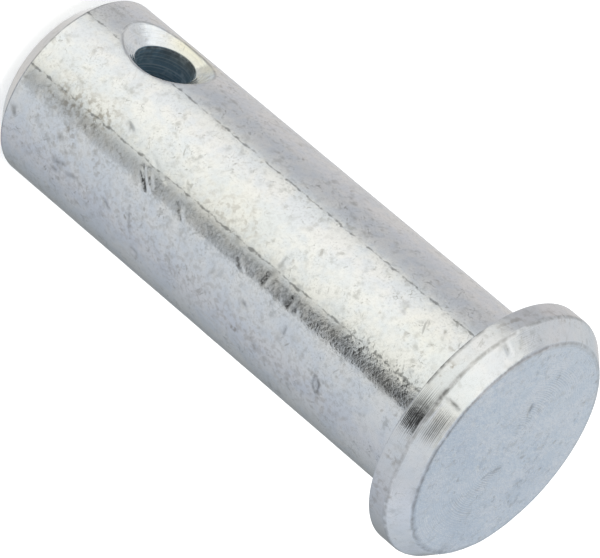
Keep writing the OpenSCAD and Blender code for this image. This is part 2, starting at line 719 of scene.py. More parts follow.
MARKS: tuple[Mark, ...] = (
    # Dents
    Mark(DENT, SHANK, (144, 167), (147, 191), 0.18, 0.036),
    Mark(DENT, SHANK, (150, 169), (151, 186), 0.16, 0.030),
    Mark(DENT, SHANK, (154, 159), (156, 166), 0.20, 0.020),
    Mark(DENT, SHANK, (179, 203), (182, 221), 0.15, 0.014),
    Mark(DENT, SHANK, (239, 257), (242, 271), 0.15, 0.010),
    Mark(DENT, SHANK, (289, 308), (296, 298), 0.16, 0.020),
    Mark(DENT, SHANK, (288, 257), (279, 268), 0.15, 0.040),
    Mark(DENT, SHANK, (276, 271), (264, 283), 0.20, 0.020),
    Mark(DENT, SHANK, (315, 380), (316, 392), 0.26, 0.050),
    Mark(DENT, SHANK, (128, 123), (132, 131), 0.24, 0.070),
    Mark(DENT, SHANK, (193, 160), (194, 162), 0.18, 0.050),
    Mark(DENT, SHANK, (133, 250), (135, 254), 0.20, 0.060),
    Mark(DENT, SHANK, (244, 303), (244, 306), 0.18, 0.070),
    Mark(DENT, SHANK, (104, 200), (106, 203), 0.20, 0.060),
    Mark(DENT, SHANK, (129, 210), (129, 228), 0.16, 0.010),
    Mark(DENT, SHANK, (351, 187), (352, 190), 0.20, 0.050),
    Mark(DENT, SHANK, (403, 309), (406, 312), 0.24, 0.070),
    Mark(DENT, SHANK, (282, 334), (286, 328), 0.18, 0.018),
    Mark(DENT, SHANK, (298, 172), (327, 176), 0.15, 0.010),
    Mark(DENT, SHANK, (14, 106), (15, 114), 0.22, 0.020),
    Mark(DENT, SHANK, (52, 160), (59, 164), 0.20, 0.012),
    Mark(DENT, RIM, (448, 366), (451, 368), 0.22, 0.030),
    Mark(DENT, RIM, (392, 455), (394, 459), 0.20, 0.020),
    Mark(DENT, BEVEL, (505, 342), (510, 355), 0.14, 0.080),
    Mark(DENT, BEVEL, (502, 361), (508, 364), 0.16, 0.020),
    Mark(DENT, FACE, (528, 414), (532, 406), 0.20, 0.030),
    Mark(DENT, FACE, (480, 478), (490, 470), 0.30, 0.010),
    Mark(DENT, FACE, (510, 485), (520, 481), 0.20, 0.016),
    Mark(DENT, FACE, (511, 504), (517, 495), 0.18, 0.016),
    # Scores: dark scratches, and broad soft darkening, some of it painted reflection as marked below
    Mark(SCORE_AND_REFLECTION, SHANK, (285, 304), (293, 298), 0.16, 0.8),
    Mark(SCORE_AND_REFLECTION, SHANK, (293, 309), (298, 303), 0.22, 0.9),
    Mark(SCORE_AND_REFLECTION, SHANK, (315.5, 376), (312.5, 383), 0.12, 0.85),
    Mark(SCORE_AND_REFLECTION, SHANK, (312.5, 383), (314.5, 392), 0.12, 0.85),
    Mark(SCORE_AND_REFLECTION, SHANK, (316.5, 376), (319, 384), 0.12, 0.7),
    Mark(SCORE_AND_REFLECTION, SHANK, (319, 384), (317, 397), 0.12, 0.8),
    Mark(SCORE_AND_REFLECTION, SHANK, (13, 106), (14, 113), 0.20, 0.55),
    Mark(SCORE_AND_REFLECTION, SHANK, (55, 161), (63, 164), 0.24, 0.5),
    Mark(SCORE_AND_REFLECTION, SHANK, (53, 168), (56, 170), 0.20, 0.5),
    Mark(SCORE_AND_REFLECTION, SHANK, (66, 173), (76, 178), 0.15, 0.5),
    Mark(SCORE_AND_REFLECTION, SHANK, (59, 138), (61, 139), 0.22, 0.45),
    Mark(SCORE_AND_REFLECTION, SHANK, (283, 333), (286, 327), 0.12, 0.6),
    Mark(SCORE_AND_REFLECTION, SHANK, (278, 339), (279, 341), 0.14, 0.5),
    Mark(SCORE_AND_REFLECTION, SHANK, (403, 311), (407, 307), 0.18, 0.35),
    Mark(SCORE_AND_REFLECTION, SHANK, (382, 318), (384, 316), 0.12, 0.5),
    Mark(SCORE_AND_REFLECTION, SHANK, (333, 332), (343, 323), 0.10, 0.5),
    Mark(SCORE_AND_REFLECTION, SHANK, (279, 268), (287, 258), 0.10, 0.6),
    Mark(SCORE_AND_REFLECTION, SHANK, (265, 282), (277, 271), 0.30, 0.3),
    Mark(SCORE_AND_REFLECTION, SHANK, (132, 249), (135, 254), 0.22, 0.35),
    Mark(SCORE_AND_REFLECTION, SHANK, (130, 206), (129, 230), 0.10, 0.55),
    Mark(SCORE_AND_REFLECTION, SHANK, (103, 199), (109, 208), 0.14, 0.60),
    Mark(SCORE_AND_REFLECTION, SHANK, (243.5, 303), (244.5, 305), 0.16, 0.6),
    Mark(SCORE_AND_REFLECTION, SHANK, (128, 123), (131, 130), 0.18, 0.50),
    # Painted reflection: broad darkening of the dark band near the head.
    Mark(SCORE_AND_REFLECTION, SHANK, (344, 349), (404, 401), 0.42, 0.30),
    Mark(SCORE_AND_REFLECTION, SHANK, (376, 377), (408, 405), 0.45, 0.55),
    Mark(SCORE_AND_REFLECTION, RIM, (483.5, 330), (464.5, 345), 0.12, 0.7),
    Mark(SCORE_AND_REFLECTION, RIM, (464.5, 345), (445.5, 362.5), 0.12, 0.8),
    Mark(SCORE_AND_REFLECTION, RIM, (445.5, 362.5), (427.5, 382), 0.12, 1.0),
    # Painted reflection: broad darkening of the rim's dark patch.
    Mark(SCORE_AND_REFLECTION, RIM, (419, 416), (428, 406), 0.42, 0.8),
    Mark(SCORE_AND_REFLECTION, RIM, (415, 411), (421, 404), 0.50, 0.6),
    Mark(SCORE_AND_REFLECTION, RIM, (436, 403), (448, 389), 0.16, 0.9),
    Mark(SCORE_AND_REFLECTION, RIM, (448, 389), (460, 376.5), 0.14, 0.6),
    Mark(SCORE_AND_REFLECTION, BEVEL, (446, 397), (459, 409), 0.13, 0.9),
    Mark(SCORE_AND_REFLECTION, BEVEL, (505, 342), (509, 354), 0.10, 0.6),
    # Painted reflection: broad darkening of the bevel's dark patch.
    Mark(SCORE_AND_REFLECTION, BEVEL, (428, 436), (438, 426), 0.45, 0.38),
    # Broad soft darkening on the lower bevel.
    Mark(SCORE_AND_REFLECTION, BEVEL, (411, 549), (426, 554), 0.7, 0.22),
    Mark(SCORE_AND_REFLECTION, BEVEL, (426, 554), (442, 552.5), 0.7, 0.30),
    Mark(SCORE_AND_REFLECTION, FACE, (528, 414), (532, 405), 0.13, 0.5),
    Mark(SCORE_AND_REFLECTION, FACE, (491, 472), (500, 468), 0.13, 0.45),
    Mark(SCORE_AND_REFLECTION, FACE, (482, 479), (488, 474), 0.12, 0.35),
    Mark(SCORE_AND_REFLECTION, FACE, (514, 485), (521, 481), 0.12, 0.40),
    Mark(SCORE_AND_REFLECTION, FACE, (514, 503), (518, 495), 0.11, 0.40),
    Mark(SCORE_AND_REFLECTION, FACE, (508, 502), (511, 505), 0.11, 0.35),
    Mark(SCORE_AND_REFLECTION, FACE, (533, 462), (539, 454), 0.11, 0.35),
    Mark(SCORE_AND_REFLECTION, FACE, (541, 450), (549, 434), 0.10, 0.25),
    Mark(SCORE_AND_REFLECTION, FACE, (545, 474), (549, 470), 0.11, 0.35),
    Mark(SCORE_AND_REFLECTION, FACE, (504, 448), (507, 451), 0.11, 0.30),
    # Scuffs: rubbed strokes in the relief, with dark strokes painted into the colour; those near the head,
    # on the rim and on the bevel are painted reflection
    # Painted reflection: dark strokes of the band near the head, over rubbed relief.
    Mark(SCUFF_AND_REFLECTION, SHANK, (353, 343), (415, 397), 0.9, 1.0),
    Mark(SCUFF_AND_REFLECTION, SHANK, (305, 312), (350, 348), 0.5, 0.4),
    Mark(SCUFF_AND_REFLECTION, SHANK, (50, 85), (110, 125), 0.8, 0.15),
    # Painted reflection: dark ring lines of the rim's dark patch.
    Mark(SCUFF_AND_REFLECTION, RIM, (409, 422), (426, 402), 0.80, 1.0),
    # Painted reflection: dark ring lines of the bevel's dark patch.
    Mark(SCUFF_AND_REFLECTION, BEVEL, (430, 434), (441, 422), 0.62, 1.0),
    Mark(SCUFF_AND_REFLECTION, FACE, (478, 488), (497, 470), 0.45, 0.28),
    Mark(SCUFF_AND_REFLECTION, FACE, (456, 503), (464, 514), 0.6, 0.20),
    Mark(SCUFF_AND_REFLECTION, FACE, (520, 425), (560, 380), 0.9, 0.17),
    # Stains
    Mark(STAIN, SHANK, (192, 288), (204, 298), 0.6, 0.5),
    Mark(STAIN, SHANK, (40, 140), (150, 240), 2.2, 0.30),
    Mark(STAIN, SHANK, (150, 240), (330, 410), 2.2, 0.32),
    Mark(STAIN, SHANK, (60, 95), (105, 118), 1.1, 0.75),
    Mark(STAIN, SHANK, (228, 326), (234, 328), 0.5, 0.8),
    Mark(STAIN, SHANK, (68, 128), (75, 150), 0.45, 0.6),
    Mark(STAIN, SHANK, (93, 158), (97, 172), 0.5, 0.5),
    Mark(STAIN, SHANK, (215, 205), (250, 222), 1.2, 0.4),
    Mark(STAIN, RIM, (379, 478), (374, 508), 0.5, 0.40),
    Mark(STAIN, RIM, (390, 455), (394, 461), 0.35, 0.70),
    Mark(STAIN, RIM, (503, 329), (518, 320), 0.4, 0.55),
    Mark(STAIN, RIM, (557, 315), (572, 318), 0.4, 0.55),
    Mark(STAIN, RIM, (520, 318), (548, 312), 0.3, 0.35),
    Mark(STAIN, RIM, (449, 366), (451, 367), 0.3, 1.0),
    # Tints
    Mark(TINT, SHANK, (186, 44), (208, 66), 0.9, 0.7),
    Mark(TINT, SHANK, (230, 190), (260, 225), 1.5, 0.1),
    Mark(TINT, SHANK, (420, 325), (440, 345), 1.2, 0.2),
    Mark(TINT, FACE, (455, 440), (470, 462), 1.2, 0.45),
    Mark(TINT, FACE, (515, 490), (540, 470), 1.0, 0.45),
    Mark(TINT, FACE, (452, 522), (468, 535), 0.9, 0.45),
)

# Directions of the painted reflection lines round the axis, from +X towards +Y: dark lines painted along
# the shank
PAINTED_REFLECTION_LINES_DEG = (-29.6, -72.4)
# Heights between which the plate's grain grows rougher, in metres
ROUGHER_HEIGHTS = (0.022, 0.034)
# A point this near to a flat end lies on it, in millimetres
CONTACT = 1e-6


@dataclass(frozen=True)
class Handling:
    """Small dents from handling, scattered all over the pin, and the slow waves of its walls.

    Attributes:
        shank_dents: How many lie on the shank.
        head_dents: How many lie on the head's face and bevel.
        reach: The least and greatest half width of a dent, in millimetres.
        depth: The least and greatest depth, in millimetres.
        length: Mean length of a dent, in millimetres.
        waves: How many slow waves there are.
        wavelength: The shortest and longest wave, in millimetres.
        wave_height: Root mean square of the waves, in millimetres.
    """

    shank_dents: int = 150
    head_dents: int = 40
    reach: tuple[float, float] = (0.14, 0.26)
    depth: tuple[float, float] = (0.004, 0.026)
    length: float = 0.35
    waves: int = 28
    wavelength: tuple[float, float] = (2.0, 6.0)
    wave_height: float = 0.003

    def dents(self, sizes: PinSizes, rng: np.random.Generator) -> list[tuple[Array, Array, float, float]]:
        """Draws the small dents.

        Args:
            sizes: The pin's sizes.
            rng: The random generator.

        Returns:
            For each dent its two ends, its half width and its depth.
        """
        count = self.shank_dents + self.head_dents
        angle = rng.uniform(0.0, 2 * math.pi, count)
        height = rng.uniform(sizes.tip_chamfer, sizes.seat_z, count)
        radius = np.full(count, sizes.shank_r)
        radius[self.shank_dents :] = sizes.face_r * np.sqrt(rng.uniform(0.0, 1.0, self.head_dents))
        height[self.shank_dents :] = sizes.face_z
        start = np.stack([radius * np.cos(angle), radius * np.sin(angle), height], axis=-1)
        along = np.stack([-np.sin(angle), np.cos(angle), 0 * angle], axis=-1)
        lean = rng.uniform(-1.0, 1.0, count)[:, None]
        other = np.array([0.0, 0.0, 1.0]) * (np.arange(count) < self.shank_dents)[:, None]
        way = along * lean + other * (1 - np.abs(lean))
        end = start + way * rng.exponential(self.length, count)[:, None]
        return list(zip(start, end, rng.uniform(*self.reach, count), rng.uniform(*self.depth, count)))

    def waviness(self, points: Array, rng: np.random.Generator) -> Array:
        """Slow waves through space: the sum of sin(k . p + phase) over random wave vectors k.

        Args:
            points: Where the waves are wanted.
            rng: The random generator.

        Returns:
            The height of the waves at each point, in millimetres.
        """
        way = rng.normal(0.0, 1.0, (self.waves, 3))
        way *= 2 * math.pi / np.linalg.norm(way, axis=1, keepdims=True)
        way /= rng.uniform(*self.wavelength, self.waves)[:, None]
        phase = rng.uniform(0.0, 2 * math.pi, self.waves)
        return np.sin(points @ way.T + phase).sum(axis=1) * self.wave_height * math.sqrt(2 / self.waves)


class NodeSketch:
    """Adds nodes to one node tree and joins them."""

    def __init__(self, tree: bpy.types.NodeTree) -> None:
        """Takes the tree to draw in."""
        self.tree = tree

    def add(self, kind: str, **settings: Any) -> bpy.types.Node:
        """Adds a node.

        Args:
            kind: The node's type, without the words ShaderNode.
            settings: Properties to set on it.

        Returns:
            The node.
        """
        node = self.tree.nodes.new("ShaderNode" + kind)
        for name, value in settings.items():
            setattr(node, name, value)
        return node

    def put(self, socket: bpy.types.NodeSocket, value: Value) -> None:
        """Joins an output to a socket, or sets the socket's own value.

        Args:
            socket: The input.
            value: An output, a number or a colour.
        """
        if isinstance(value, bpy.types.NodeSocket):
            self.tree.links.new(value, socket)
        elif hasattr(socket.default_value, "__len__") and len(socket.default_value) == 4:
            socket.default_value = (*value, 1.0)
        else:
            socket.default_value = value

    def math(self, operation: str, first: Value, second: Value = 0.0) -> bpy.types.NodeSocket:
        """Does one sum.

        Args:
            operation: Name of the sum.
            first: First number or output.
            second: Second number or output.

        Returns:
            The result.
        """
        node = self.add("Math", operation=operation)
        self.put(node.inputs[0], first)
        self.put(node.inputs[1], second)
        return node.outputs[0]

    def plus(self, first: Value, second: Value) -> bpy.types.NodeSocket:
        """The sum of two numbers."""
        return self.math("ADD", first, second)

    def minus(self, first: Value, second: Value) -> bpy.types.NodeSocket:
        """The first number less the second."""
        return self.math("SUBTRACT", first, second)

    def times(self, first: Value, second: Value) -> bpy.types.NodeSocket:
        """The product of two numbers."""
        return self.math("MULTIPLY", first, second)

    def most(self, first: Value, second: Value) -> bpy.types.NodeSocket:
        """The greater of two numbers."""
        return self.math("MAXIMUM", first, second)

    def between(self, value: Value, low: float, high: float) -> bpy.types.NodeSocket:
        """A smooth step from 0 at low to 1 at high.

        Args:
            value: The number that is tested.
            low: Where the step starts.
            high: Where it ends.

        Returns:
            The step.
        """
        node = self.add("MapRange", interpolation_type="SMOOTHSTEP")
        self.put(node.inputs["Value"], value)
        node.inputs["From Min"].default_value = low
        node.inputs["From Max"].default_value = high
        return node.outputs["Result"]

    def place(self) -> bpy.types.NodeSocket:
        """The object's own coordinates, in metres."""
        return self.add("TexCoord").outputs["Object"]

    def parts(self) -> bpy.types.NodeOutputs:
        """The object's own coordinates, one by one.

        Returns:
            The outputs X, Y and Z.
        """
        node = self.add("SeparateXYZ")
        self.put(node.inputs[0], self.place())
        return node.outputs

    def noise(
        self,
        scale: float,
        detail: float = 2.0,
        longer: Colour = (1.0, 1.0, 1.0),
        lean: Colour = (0.0, 0.0, 0.0),
    ) -> bpy.types.NodeSocket:
        """Noise on the object's own coordinates.

        Args:
            scale: Waves in a metre.
            detail: Octaves.
            longer: How many times longer the noise is drawn out along each of its axes.
            lean: Turn of those axes, in radians.

        Returns:
            The noise, from 0 to 1.
        """
        mapping = self.add("Mapping", vector_type="TEXTURE")
        self.put(mapping.inputs["Vector"], self.place())
        mapping.inputs["Scale"].default_value = longer
        mapping.inputs["Rotation"].default_value = lean
        node = self.add("TexNoise")
        self.put(node.inputs["Vector"], mapping.outputs["Vector"])
        node.inputs["Scale"].default_value = scale
        node.inputs["Detail"].default_value = detail
        return node.outputs["Fac"]

    def attribute(self, name: str) -> bpy.types.NodeSocket:
        """Reads one of the mesh's own numbers."""
        return self.add("Attribute", attribute_type="GEOMETRY", attribute_name=name).outputs["Fac"]

    def blend(self, factor: Value, first: Value, second: Value) -> bpy.types.NodeSocket:
        """Mixes two colours.

        Args:
            factor: Share of the second.
            first: First colour.
            second: Second colour.

        Returns:
            The mixed colour.
        """
        node = self.add("Mix", data_type="RGBA")
        self.put(node.inputs["Factor"], factor)
        colours = [socket for socket in node.inputs if socket.type == "RGBA"]
        self.put(colours[0], first)
        self.put(colours[1], second)
        return next(socket for socket in node.outputs if socket.type == "RGBA")

    def group(self, tree: bpy.types.NodeTree) -> bpy.types.Node:
        """Places a node group.

        Args:
            tree: The group.

        Returns:
            Its node.
        """
        node = self.add("Group")
        node.node_tree = tree
        return node


def new_group(
    name: str, outputs: tuple[str, ...], inputs: tuple[str, ...] = ()
) -> tuple[bpy.types.NodeTree, NodeSketch, bpy.types.Node]:
    """Starts a shader node group that works on numbers.

    Args:
        name: Name of the group.
        outputs: Names of its outputs.
        inputs: Names of its inputs.

    Returns:
        The group, a sketch to draw in it, and its output node.
    """
    tree = bpy.data.node_groups.new(name, "ShaderNodeTree")
    for way, names in (("OUTPUT", outputs), ("INPUT", inputs)):
        for socket in names:
            tree.interface.new_socket(socket, in_out=way, socket_type="NodeSocketFloat")
    return tree, NodeSketch(tree), tree.nodes.new("NodeGroupOutput")


def new_material(name: str) -> tuple[bpy.types.Material, NodeSketch, bpy.types.Node]:
    """Starts a material.

    Args:
        name: Name of the material.

    Returns:
        The material, a sketch to draw in it, and its shader.
    """
    material = bpy.data.materials.new(name)
    material.use_nodes = True
    return material, NodeSketch(material.node_tree), material.node_tree.nodes["Principled BSDF"]


class Effects:
    """The effects that the finishes share, each a node group that is built once."""

    def __init__(self) -> None:
        """Builds the groups."""
        self.grain = self.build_grain()
        self.specks = self.build_specks()
        self.rings = self.build_rings()
        self.wear = self.build_wear_and_painted_light()
        self.painted_reflection_lines = self.build_painted_reflection_lines()

    @staticmethod
    def build_grain() -> bpy.types.NodeTree:
        """The plate's crystal grain, rougher towards the head, and the short strokes round the shank.

        Returns:
            A group with the outputs Crystals and Lay, both about 0 and reaching 1 at most.
        """
        tree, sketch, out = new_group("plate_grain", ("Crystals", "Lay"))
        coarse = sketch.minus(sketch.noise(3000.0, 3.0), 0.5)
        fine = sketch.minus(sketch.noise(7000.0, 1.0), 0.5)
        crystals = sketch.plus(coarse, sketch.times(fine, 0.5))
        rougher = sketch.times(sketch.between(sketch.parts()["Z"], *ROUGHER_HEIGHTS), 0.6)
        sketch.put(out.inputs["Crystals"], sketch.times(crystals, sketch.plus(rougher, 0.4)))
        rising = sketch.noise(6500.0, 3.0, (2.4, 2.4, 1.0), (0.45, -0.30, 0.0))
        falling = sketch.noise(5200.0, 3.0, (2.2, 2.2, 1.0), (-0.35, 0.40, 0.0))
        both = sketch.times(sketch.plus(rising, falling), 0.5)
        sketch.put(out.inputs["Lay"], sketch.minus(both, 0.5))
        return tree

    @staticmethod
    def build_specks() -> bpy.types.NodeTree:
        """The plate's specks and dashes (dark on the plate, painted glints in the bore), its broad clouds,
        and its dull patches.

        Returns:
            A group with the outputs Specks, Clouds and Dull, all from 0 to 1.
        """
        tree, sketch, out = new_group("plate_specks", ("Specks", "Clouds", "Dull"))
        dots = sketch.between(sketch.noise(6200.0, 4.0), 0.50, 0.72)
        blotches = sketch.between(sketch.noise(1700.0, 5.0), 0.50, 0.72)
        upright = sketch.between(sketch.noise(3400.0, 3.0, (1.0, 1.0, 5.0), (1.0, -0.2, 0.0)), 0.64, 0.74)
        across = sketch.between(sketch.noise(2900.0, 3.0, (1.0, 1.0, 6.0), (-0.6, 0.9, 0.0)), 0.65, 0.75)
        dashes = sketch.most(upright, across)
        clusters = sketch.between(sketch.noise(520.0, 3.0), 0.40, 0.62)
        soft = sketch.times(blotches, 0.75)
        soft = sketch.most(soft, sketch.times(dots, 0.5))
        specks = sketch.most(sketch.most(soft, dashes), Effects.hairs(sketch))
        crowd = sketch.plus(sketch.times(clusters, 0.65), 0.35)
        sketch.put(out.inputs["Specks"], sketch.times(specks, crowd))
        mottled = sketch.times(sketch.noise(1300.0, 4.0), 0.45)
        mottled = sketch.plus(mottled, sketch.times(sketch.noise(420.0, 3.0), 0.55))
        sketch.put(out.inputs["Clouds"], sketch.between(mottled, 0.40, 0.60))
        sketch.put(out.inputs["Dull"], sketch.between(sketch.noise(4400.0, 3.0), 0.44, 0.60))
        return tree

    @staticmethod
    def hairs(sketch: NodeSketch) -> bpy.types.NodeSocket:
        """Draws hair scratches: stretches of the bent borders between scattered cells.

        Args:
            sketch: The sketch to draw in.

        Returns:
            The scratches, from 0 to 1.
        """
        wander = sketch.add("TexNoise")
        wander.inputs["Scale"].default_value = 700.0
        wander.inputs["Detail"].default_value = 4.0
        bent = sketch.add("VectorMath", operation="MULTIPLY_ADD")
        place = sketch.place()
        sketch.put(wander.inputs["Vector"], place)
        sketch.put(bent.inputs[0], wander.outputs["Color"])
        bent.inputs[1].default_value = (0.0024, 0.0024, 0.0024)
        sketch.put(bent.inputs[2], place)
        cells = sketch.add("TexVoronoi", feature="DISTANCE_TO_EDGE")
        sketch.put(cells.inputs["Vector"], bent.outputs["Vector"])
        cells.inputs["Scale"].default_value = 420.0
        border = sketch.minus(1.0, sketch.between(cells.outputs["Distance"], 0.004, 0.016))
        stretches = sketch.between(sketch.noise(900.0, 3.0), 0.54, 0.60)
        return sketch.times(border, stretches)

    @staticmethod
    def build_rings() -> bpy.types.NodeTree:
        """The rings that a cutting tool leaves: an uneven sine of the distance along the profile.

        Returns:
            A group with the input Pitch, in millimetres, and the outputs Even and Patchy, from -1 to 1.
        """
        tree, sketch, out = new_group("tool_rings", ("Even", "Patchy"), ("Pitch",))
        pitch = tree.nodes.new("NodeGroupInput").outputs["Pitch"]
        run = sketch.attribute("run")
        uneven = sketch.add("TexNoise", noise_dimensions="1D")
        sketch.put(uneven.inputs["W"], run)
        uneven.inputs["Scale"].default_value = 2.5
        turn = sketch.math("DIVIDE", sketch.times(run, 2 * math.pi), pitch)
        phase = sketch.plus(turn, sketch.times(uneven.outputs["Fac"], 9.0))
        patchy = sketch.between(sketch.noise(330.0, 3.0), 0.30, 0.66)
        even = sketch.math("SINE", phase)
        sketch.put(out.inputs["Even"], even)
        sketch.put(out.inputs["Patchy"], sketch.times(even, patchy))
        return tree

    @staticmethod
    def build_wear_and_painted_light() -> bpy.types.NodeTree:
        """The broken dark line along an edge (wear, and painted shade at the bore's edge), the dark scores
        (scratches, and painted reflection in the broad ones), and the stains.

        Returns:
            A group with the outputs Line, Score and Stain, all from 0 to 1.
        """
        tree, sketch, out = new_group("wear_and_painted_light", ("Line", "Score", "Stain"))
        broken = sketch.between(sketch.noise(2400.0, 4.0), 0.30, 0.62)
        broken = sketch.plus(sketch.times(broken, 0.65), 0.35)
        sketch.put(out.inputs["Line"], sketch.times(sketch.attribute("edge"), broken))
        sketch.put(out.inputs["Score"], sketch.times(sketch.attribute("score_and_reflection"), broken))
        spots = sketch.between(sketch.noise(2600.0, 4.0), 0.46, 0.64)
        stain = sketch.times(sketch.attribute("stain"), spots)
        smudges = sketch.between(sketch.noise(1250.0, 5.0), 0.64, 0.76)
        sketch.put(out.inputs["Stain"], sketch.most(stain, sketch.times(smudges, 0.45)))
        return tree

    @staticmethod
    def build_painted_reflection_lines() -> bpy.types.NodeTree:
        """Painted reflection: fine dark lines painted along the bar, each at its own angle, standing in for
        thin dark lines that the shank mirrors.

        A line is where atan2(y, x), a little uneven, lies within a half width of the line's angle.
        The half width comes from noise, so that the line swells, thins and breaks off.

        Returns:
            A group with the output Line, from 0 to 1.
        """
        tree, sketch, out = new_group("painted_reflection_lines", ("Line",))
        place = sketch.parts()
        angle = sketch.math("ARCTAN2", place["Y"], place["X"])
        waver = sketch.times(sketch.minus(sketch.noise(1400.0, 5.0), 0.5), 0.06)
        angle = sketch.plus(angle, waver)
        width = sketch.times(sketch.minus(sketch.noise(1900.0, 4.0), 0.48), 0.08)
        lines = 0.0
        for degrees in PAINTED_REFLECTION_LINES_DEG:
            gap = sketch.math("ABSOLUTE", sketch.minus(angle, math.radians(degrees)))
            line = sketch.between(sketch.minus(width, gap), -0.012, 0.008)
            lines = sketch.most(lines, line)
        sketch.put(out.inputs["Line"], lines)
        return tree


@dataclass(frozen=True)
class MetalFinish:
    """A finish of the pin's metal. Heights of the relief are in micrometres.

    Attributes:
        name: Name of the material.
        colour: The clean plate.
        cloud: The plate in its broad clouds.
        speck: The plate's specks, dark on the plate; in the bore they are light, a painted glint.
        stain: The brown stains.
        tint: The thin film of colour.
        line: The dark line along the edges: wear, and in the bore painted shade.
        score_and_reflection_colour: The dark scores, the bottom of the strokes or rings in a scuff, and the
            painted reflection lines; on the broad scores and scuffs near the head, on the rim and on the
            bevel it is painted reflection.
        metallic: How metallic the surface is.
        roughness: Roughness of the clean plate.
        dullness: What a dull patch adds to the roughness.
        speck_share: How much of the speck's colour shows.
        reflection_line_share: How much of the scores' colour shows along the painted reflection lines.
        crystals: Height of the crystal grain.
        lay: Height of the strokes round the shank, away from the scuffs.
        scuff: What a scuff adds to their height.
        rings: Height of the tool's rings.
        ring_share: How much of the speck's colour shows on them; in the bore this paints highlights on the
            ring crests.
        pitch: Pitch of the tool's rings, in millimetres.
    """

    name: str
    colour: Colour = (0.79, 0.815, 0.84)
    cloud: Colour = (0.875, 0.87, 0.85)
    speck: Colour = (0.46, 0.46, 0.44)
    stain: Colour = (0.36, 0.33, 0.29)
    tint: Colour = (0.86, 0.82, 0.62)
    line: Colour = (0.37, 0.37, 0.365)
    score_and_reflection_colour: Colour = (0.16, 0.16, 0.16)
    metallic: float = 1.0
    roughness: float = 0.07
    dullness: float = 0.20
    speck_share: float = 0.6
    reflection_line_share: float = 0.0
    crystals: float = 8.0
    lay: float = 2.5
    scuff: float = 0.0
    rings: float = 0.0
    ring_share: float = 0.0
    pitch: float = 0.18

    def build(self, effects: Effects) -> bpy.types.Material:
        """Makes the material.

        Args:
            effects: The shared node groups.

        Returns:
            The material.
        """
        material, sketch, shader = new_material(self.name)
        specks, wear = sketch.group(effects.specks), sketch.group(effects.wear)
        colour = sketch.blend(specks.outputs["Clouds"], self.colour, self.cloud)
        colour = sketch.blend(sketch.attribute("tint"), colour, self.tint)
        # In the bore the speck's colour is light, so these specks and ring crests are painted glints.
        share = sketch.times(specks.outputs["Specks"], self.speck_share)
        if self.ring_share:
            crest = sketch.between(self.tool_rings(sketch, effects).outputs["Even"], 0.5, 0.95)
            share = sketch.most(share, sketch.times(crest, self.ring_share))
        colour = sketch.blend(share, colour, self.speck)
        colour = sketch.blend(wear.outputs["Stain"], colour, self.stain)
        # The dark line along the edges; in the bore it is near black, painted shade.
        colour = sketch.blend(wear.outputs["Line"], colour, self.line)
        # Painted reflection: the broad scores and the reflection lines darken the colour where the pin
        # mirrors dark surroundings; the small scores are scratches.
        dark = wear.outputs["Score"]
        # Painted reflection: dark lines along the shank at fixed angles.
        if self.reflection_line_share:
            reflected_lines = sketch.group(effects.painted_reflection_lines).outputs["Line"]
            dark = sketch.most(dark, sketch.times(reflected_lines, self.reflection_line_share))
        # In a scuff, dark strokes of the rings or of the plate's lay are painted into the colour; near the
        # head, on the rim and on the bevel they are painted reflection of the dark band mirrored there.
        if self.rings:
            strokes = sketch.between(self.tool_rings(sketch, effects).outputs["Even"], -0.1, 0.8)
        else:
            strokes = sketch.between(sketch.group(effects.grain).outputs["Lay"], 0.01, 0.10)
        strokes = sketch.times(strokes, sketch.attribute("scuff"))
        colour = sketch.blend(sketch.most(dark, strokes), colour, self.score_and_reflection_colour)
        sketch.put(shader.inputs["Base Color"], colour)
        worn_bright = sketch.minus(1.0, sketch.times(sketch.attribute("scuff"), 0.7))
        dull = sketch.times(specks.outputs["Dull"], self.dullness)
        dull = sketch.times(dull, worn_bright)
        sketch.put(shader.inputs["Roughness"], sketch.plus(dull, self.roughness))
        shader.inputs["Metallic"].default_value = self.metallic
        bump = sketch.add("Bump")
        bump.inputs["Distance"].default_value = METRES_PER_MICROMETRE
        sketch.put(bump.inputs["Height"], self.relief(sketch, effects))
        sketch.put(shader.inputs["Normal"], bump.outputs["Normal"])
        return material

    def relief(self, sketch: NodeSketch, effects: Effects) -> bpy.types.NodeSocket:
        """Adds up the surface's relief.

        Args:
            sketch: The material's sketch.
            effects: The shared node groups.

        Returns:
            The height, in micrometres.
        """
        grain = sketch.group(effects.grain)
        scuff = sketch.times(sketch.attribute("scuff"), self.scuff)
        lay = sketch.times(grain.outputs["Lay"], sketch.plus(scuff, self.lay))
        height = sketch.plus(lay, sketch.times(grain.outputs["Crystals"], self.crystals))
        if not self.rings:
            return height
        rings = sketch.times(self.tool_rings(sketch, effects).outputs["Patchy"], self.rings)
        return sketch.plus(height, rings)

    def tool_rings(self, sketch: NodeSketch, effects: Effects) -> bpy.types.Node:
        """Places the tool's rings at the finish's own pitch.

        Args:
            sketch: The material's sketch.
            effects: The shared node groups.

        Returns:
            The rings' node.
        """
        rings = sketch.group(effects.rings)
        rings.inputs["Pitch"].default_value = self.pitch
        return rings


